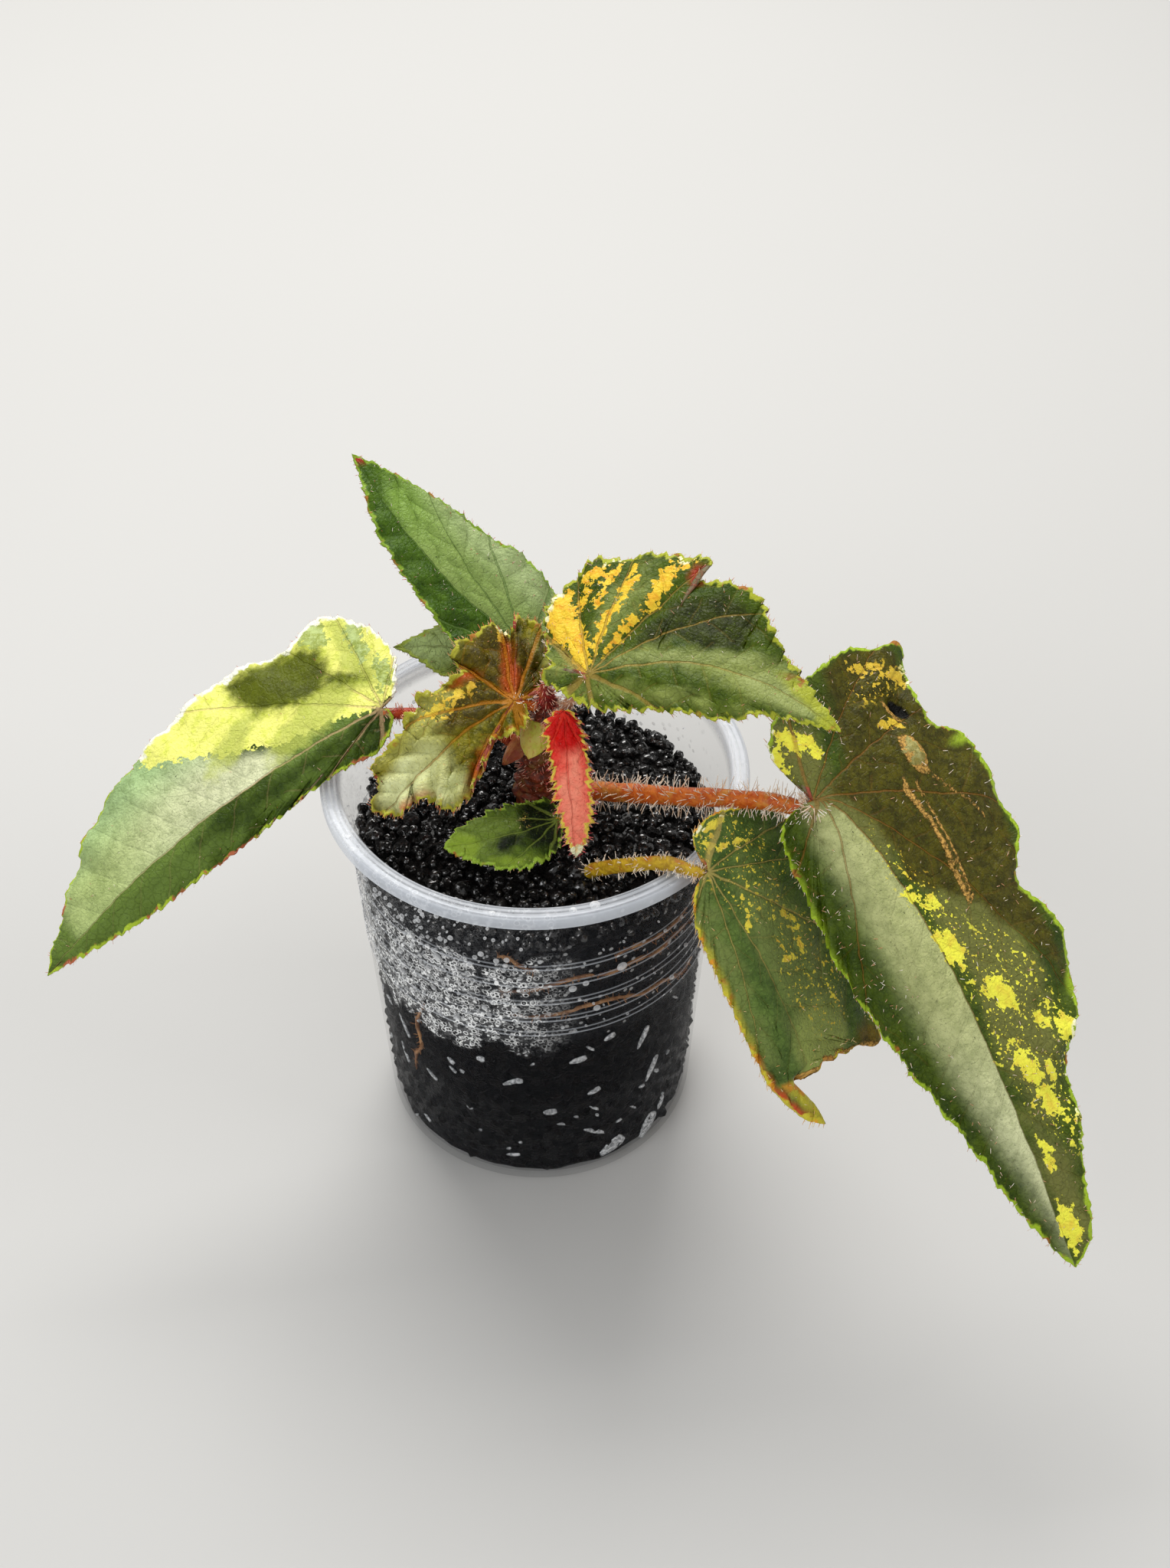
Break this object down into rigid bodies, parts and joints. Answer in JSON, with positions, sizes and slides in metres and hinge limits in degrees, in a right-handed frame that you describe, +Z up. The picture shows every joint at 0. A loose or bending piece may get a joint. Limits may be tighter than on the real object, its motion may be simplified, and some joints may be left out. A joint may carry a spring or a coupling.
{
  "type": "potted begonia",
  "caption": "Young variegated begonia with lopsided, pointed, hairy leaves on reddish stalks, rooted in dark granules in a clear ribbed nursery cup that stands on its flat base",
  "frame": {"origin": "centre of the cup's base, on the surface that it stands on", "axes": "+Z up the cup's axis, +X to the right and -Y to the front as the picture shows the plant"},
  "size_m": [0.211, 0.1433, 0.1392],
  "materials": {
    "clear_plastic": "clear polypropylene with a milky rim, fine rings and condensation",
    "substrate": "wet black granules with small bright glints",
    "stem": "fleshy dark red-brown stem with fine hairs",
    "stalk": "orange-brown to red stalks with fine pale hairs",
    "green_blade": "satin green blade with yellow variegation, sunken veins and a toothed hairy margin",
    "crinkled_blade": "crinkled bronze-green young blade with orange ribs",
    "red_blade": "pink-red young blade with a yellow toothed margin",
    "stipule": "thin yellow-green to tan papery scale",
    "root": "thin orange-brown root"
  },
  "bodies": {
    "root": {"cup": "clear_plastic", "substrate": "substrate", "main_stem": "stem", "right_leaf_blade": "green_blade", "right_leaf_stalk": "stalk", "lower_right_leaf_blade": "green_blade", "lower_right_leaf_stalk": "stalk", "left_leaf_blade": "green_blade", "left_leaf_stalk": "stalk", "rear_leaf_blade": "green_blade", "rear_leaf_stalk": "stalk", "upper_right_leaf_blade": "green_blade", "upper_right_leaf_stalk": "stalk", "crinkled_leaf_blade": "crinkled_blade", "crinkled_leaf_stalk": "stalk", "small_rear_leaf_blade": "green_blade", "small_rear_leaf_stalk": "stalk", "red_young_leaf_blade": "red_blade", "red_young_leaf_stalk": "stalk", "small_low_leaf_blade": "green_blade", "small_low_leaf_stalk": "stalk", "terminal_bud": "red_blade", "front_stipule": "stipule", "side_stipule": "stipule", "rear_stipule": "stipule", "wall_root_upper": "root", "wall_root_lower": "root", "wall_root_short": "root", "wall_root_left": "root"}
  },
  "joints": []
}
